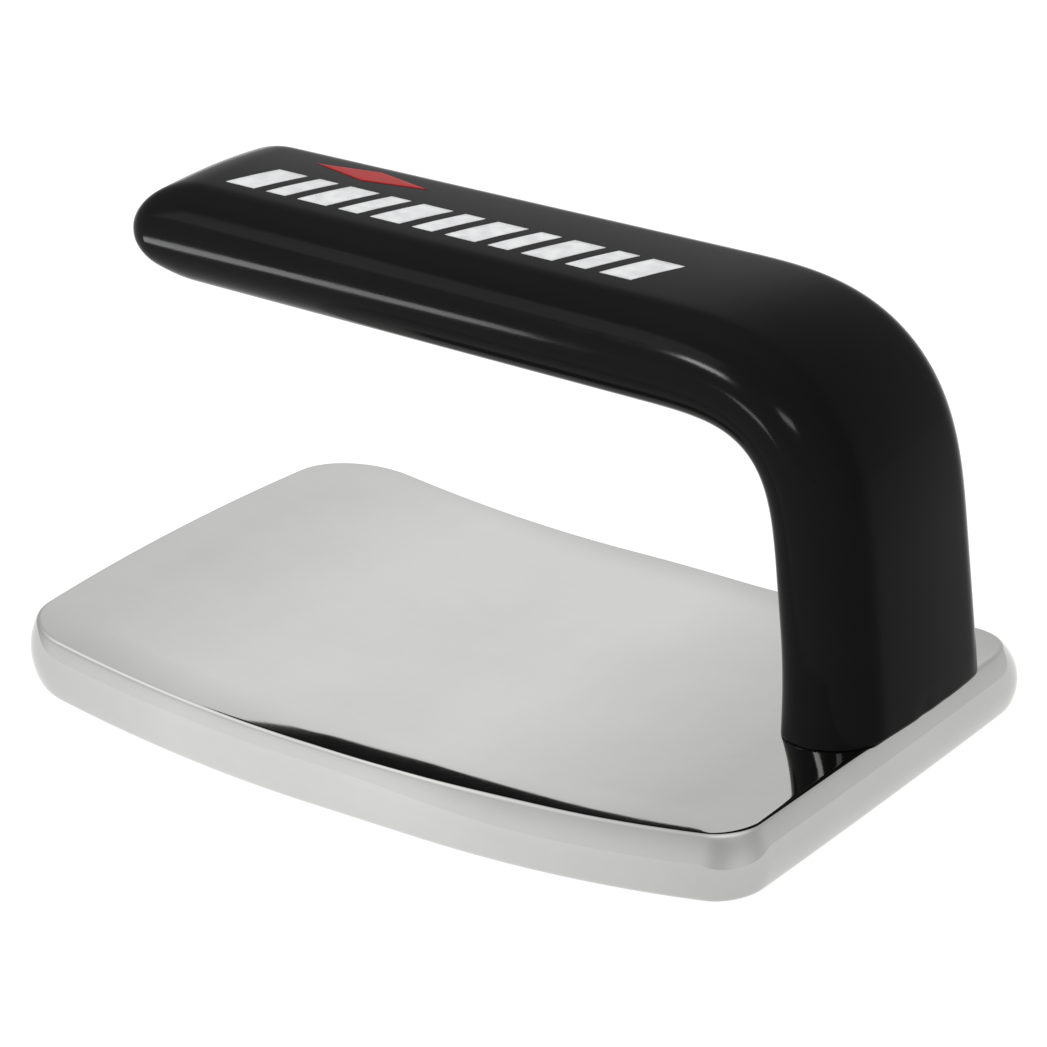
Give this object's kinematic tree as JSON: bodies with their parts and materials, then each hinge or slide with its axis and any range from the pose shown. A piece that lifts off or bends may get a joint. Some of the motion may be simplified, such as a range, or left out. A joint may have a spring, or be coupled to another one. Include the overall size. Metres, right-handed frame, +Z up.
{
  "type": "cold press iron",
  "caption": "Thick polished steel plate curved along its length, with a bent bar handle rising from one end and a dipped black vinyl grip over it.",
  "frame": {"origin": "under the middle of the object's box, at the height of the plate's lowest strip, on which it rests", "axes": "+X along the plate to the end that carries the handle's foot, +Y across the plate, +Z up"},
  "size_m": [0.0668, 0.0428, 0.0366],
  "materials": {
    "polished_steel": "hand-polished stainless steel, bright with a faint haze and fine polishing marks",
    "mill_steel": "plain flat bar, as rolled",
    "weld_metal": "dull weld metal",
    "black_vinyl": "glossy dipped black vinyl"
  },
  "bodies": {
    "root": {"base_plate": "polished_steel", "handle_bar": "mill_steel", "grip_sleeve": "black_vinyl", "weld_run_inner": "weld_metal", "weld_run_outer": "weld_metal"}
  },
  "joints": []
}
